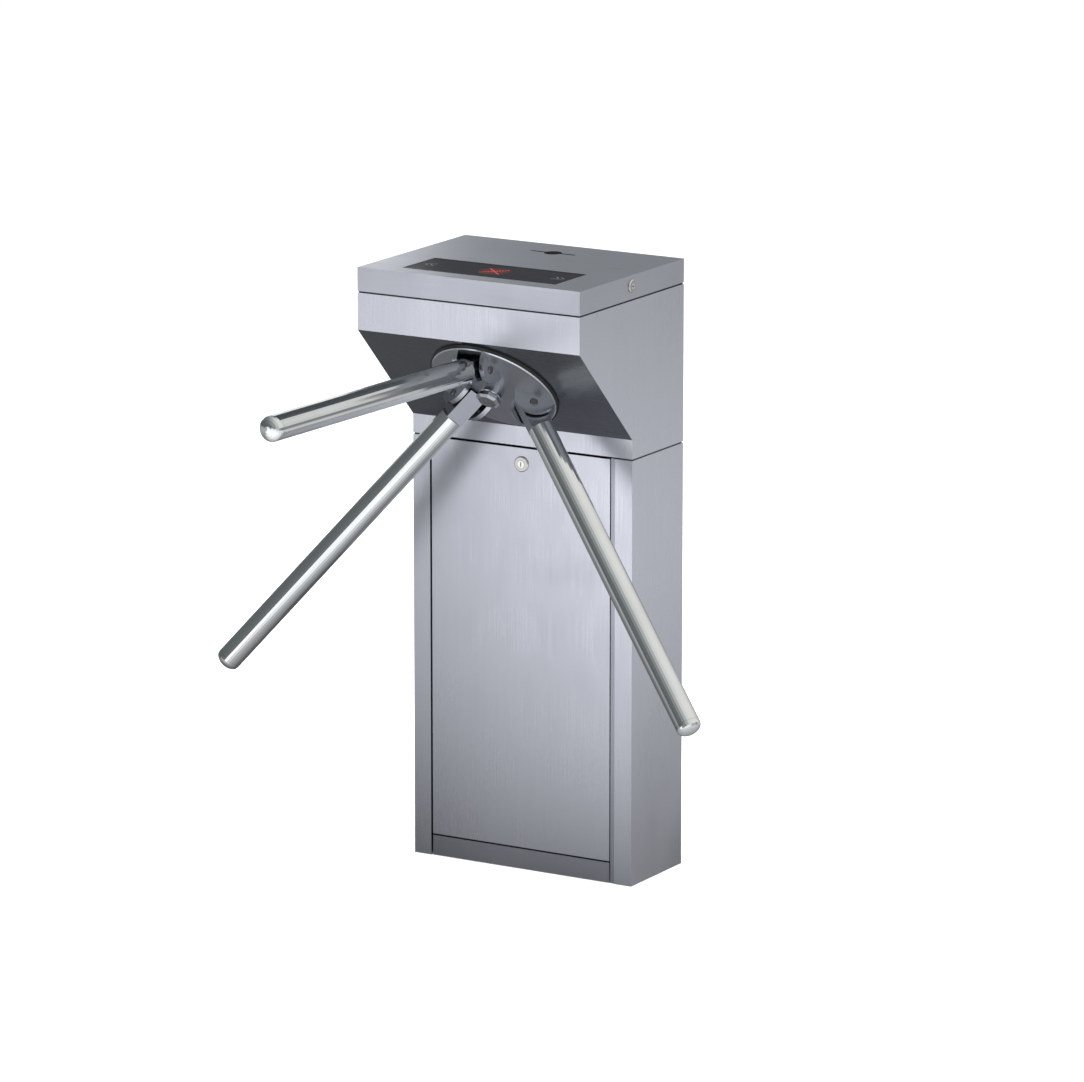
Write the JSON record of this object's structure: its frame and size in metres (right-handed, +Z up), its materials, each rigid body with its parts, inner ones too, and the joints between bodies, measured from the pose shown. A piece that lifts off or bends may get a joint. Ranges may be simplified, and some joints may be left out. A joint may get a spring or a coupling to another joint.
{
  "type": "tripod turnstile",
  "caption": "Waist-high tripod turnstile: brushed steel cabinet with an overhanging head, hinged lid with a dark display window, and a tilted hub that carries straight domed arms.",
  "frame": {"origin": "centre of the cabinet's underside, where the base plate rests on the floor", "axes": "+Z up; -Y is the front, the side that the slanted face and the forward arm point to; +X is the right-hand side seen from the front"},
  "size_m": [0.8712, 0.9002, 0.98],
  "materials": {
    "brushed_panel": "brushed stainless, vertical grain, satin",
    "kick_panel": "brushed stainless, darker satin",
    "chrome_tube": "polished chrome-plated steel tube",
    "hub_alloy": "polished and plated alloy casting",
    "lock_chrome": "polished chrome",
    "zinc_steel": "zinc-plated steel",
    "mechanism_alloy": "machined alloy",
    "bearing_steel": "ground bearing steel",
    "coil_case": "black painted steel can",
    "black_gloss": "gloss black tinted glass",
    "black_plastic": "matt black moulding",
    "board": "green circuit board",
    "bronze_gear": "bronze",
    "seal_rubber": "black rubber"
  },
  "bodies": {
    "cabinet": {"cabinet_shell": "brushed_panel", "kick_plate": "kick_panel", "base_plate": "zinc_steel", "neck_frame": "zinc_steel", "power_supply": "zinc_steel", "battery": "black_plastic", "head_shell": "brushed_panel", "face_seal": "seal_rubber", "mechanism_plate": "zinc_steel", "bearing_housing": "mechanism_alloy", "front_bearing": "bearing_steel", "rear_bearing": "bearing_steel", "lock_plate": "zinc_steel", "solenoid_left": "coil_case", "solenoid_right": "coil_case", "damper_body": "black_plastic", "encoder_reader": "black_plastic", "control_board": "board", "anchor_bolt_1": "zinc_steel", "anchor_bolt_2": "zinc_steel", "anchor_bolt_3": "zinc_steel", "anchor_bolt_4": "zinc_steel", "hinge_leaf_fixed_left": "zinc_steel", "hinge_leaf_fixed_right": "zinc_steel"},
    "door": {"door_panel": "brushed_panel", "door_lock_body": "lock_chrome"},
    "door_key": {"door_lock_plug": "lock_chrome", "door_lock_cam": "zinc_steel"},
    "lid": {"lid_cover": "brushed_panel", "display_window": "black_gloss", "display_board": "board", "card_reader": "black_plastic", "lid_lock_body": "lock_chrome", "hinge_leaf_moving_left": "zinc_steel", "hinge_leaf_moving_right": "zinc_steel"},
    "lid_key": {"lid_lock_plug": "lock_chrome", "lid_lock_cam": "zinc_steel"},
    "rotor": {"hub_casting": "hub_alloy", "hub_cap": "hub_alloy", "main_shaft": "zinc_steel", "lock_wheel": "mechanism_alloy", "damper_gear": "mechanism_alloy", "encoder_disc": "black_plastic", "arm_1_root": "hub_alloy", "arm_1_tube": "chrome_tube", "arm_1_end": "chrome_tube", "arm_1_bolt": "zinc_steel", "arm_2_root": "hub_alloy", "arm_2_tube": "chrome_tube", "arm_2_end": "chrome_tube", "arm_2_bolt": "zinc_steel", "arm_3_root": "hub_alloy", "arm_3_tube": "chrome_tube", "arm_3_end": "chrome_tube", "arm_3_bolt": "zinc_steel"},
    "damper_pinion": {"damper_pinion": "bronze_gear"},
    "pawl_left": {"pawl_left": "mechanism_alloy"},
    "pawl_right": {"pawl_right": "mechanism_alloy"},
    "plunger_left": {"plunger_left": "zinc_steel"},
    "plunger_right": {"plunger_right": "zinc_steel"}
  },
  "joints": [
    {"name": "hub_spin", "type": "hinge", "parent": "cabinet", "child": "rotor", "pos_m": [0, -0.161, 0.8], "axis": [0, -0.7071, -0.7071], "continuous": true},
    {"name": "damper_spin", "type": "hinge", "parent": "cabinet", "child": "damper_pinion", "pos_m": [0, -0.01788, 0.84073], "axis": [0, -0.7071, -0.7071], "continuous": true},
    {"name": "pawl_left_swing", "type": "hinge", "parent": "cabinet", "child": "pawl_left", "pos_m": [-0.066, -0.04786, 0.85091], "axis": [0, 0.7071, 0.7071], "range_deg": [0, 10.5], "stiffness_Nm_per_rad": 0.3},
    {"name": "pawl_right_swing", "type": "hinge", "parent": "cabinet", "child": "pawl_right", "pos_m": [0.066, -0.04786, 0.85091], "axis": [0, -0.7071, -0.7071], "range_deg": [0, 10.5], "stiffness_Nm_per_rad": 0.3},
    {"name": "plunger_left_stroke", "type": "slide", "parent": "cabinet", "child": "plunger_left", "axis": [1, 0, 0], "range_m": [0, 0.0125]},
    {"name": "plunger_right_stroke", "type": "slide", "parent": "cabinet", "child": "plunger_right", "axis": [-1, 0, 0], "range_m": [0, 0.0125]},
    {"name": "lid_hinge", "type": "hinge", "parent": "cabinet", "child": "lid", "pos_m": [0, 0.0866, 0.941], "axis": [-1, 0, 0], "range_deg": [0, 100]},
    {"name": "lid_key_turn", "type": "hinge", "parent": "lid", "child": "lid_key", "pos_m": [0.2, -0.084, 0.963], "axis": [1, 0, 0], "range_deg": [0, 90]},
    {"name": "door_tilt", "type": "hinge", "parent": "cabinet", "child": "door", "pos_m": [0, -0.08, 0.036], "axis": [1, 0, 0], "range_deg": [0, 1.5]},
    {"name": "door_key_turn", "type": "hinge", "parent": "door", "child": "door_key", "pos_m": [0, -0.08, 0.659], "axis": [0, -1, 0], "range_deg": [0, 90]}
  ],
  "couplings": [
    {"joint": "damper_spin", "follows": "hub_spin", "ratio": -2},
    {"joint": "plunger_left_stroke", "follows": "pawl_left_swing", "m_per_rad": 0.06766},
    {"joint": "plunger_right_stroke", "follows": "pawl_right_swing", "m_per_rad": 0.06766}
  ]
}
